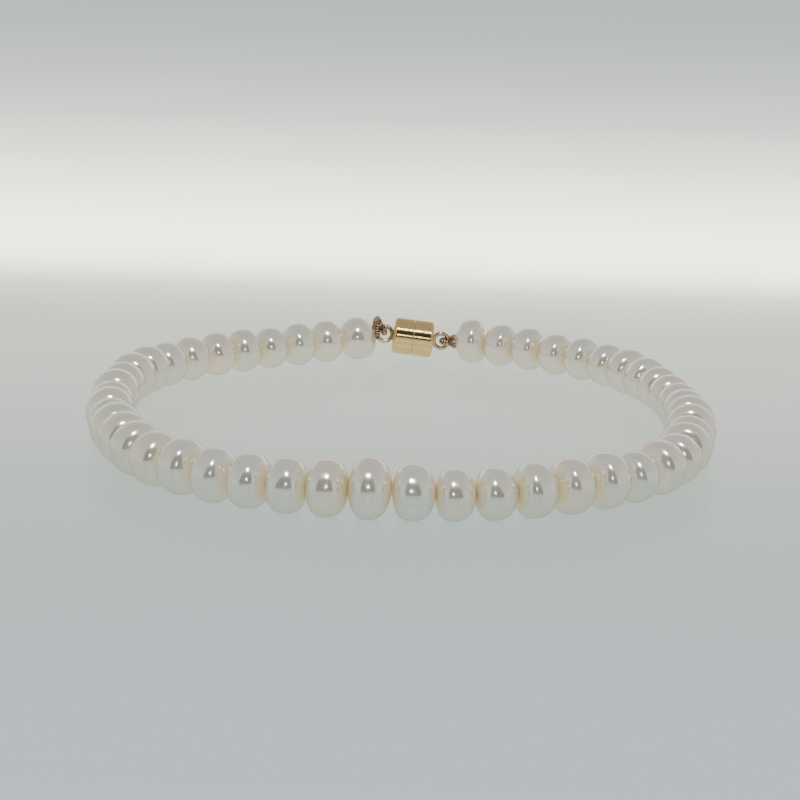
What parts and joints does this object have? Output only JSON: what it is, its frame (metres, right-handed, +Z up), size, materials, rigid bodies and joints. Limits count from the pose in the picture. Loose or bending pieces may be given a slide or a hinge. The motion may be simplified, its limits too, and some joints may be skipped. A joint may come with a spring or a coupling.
{
  "type": "pearl bracelet",
  "caption": "Strand of button pearls strung face to face as a closed loop, with a gold barrel clasp on wire rings and gimp loops.",
  "frame": {"origin": "on the surface that the bracelet lies on, under the middle of its box", "axes": "+Z up from the surface, +Y towards the clasp, +X towards the clasp's right half"},
  "size_m": [0.0638, 0.069, 0.0056],
  "materials": {
    "pearl": "lustrous",
    "gold": "polished",
    "gimp": "satin"
  },
  "bodies": {
    "root": {"pearl_string_left": "pearl", "pearl_string_right": "pearl", "clasp_half_left": "gold", "clasp_half_right": "gold", "gimp_loop_left": "gimp", "gimp_loop_right": "gimp"}
  },
  "joints": []
}
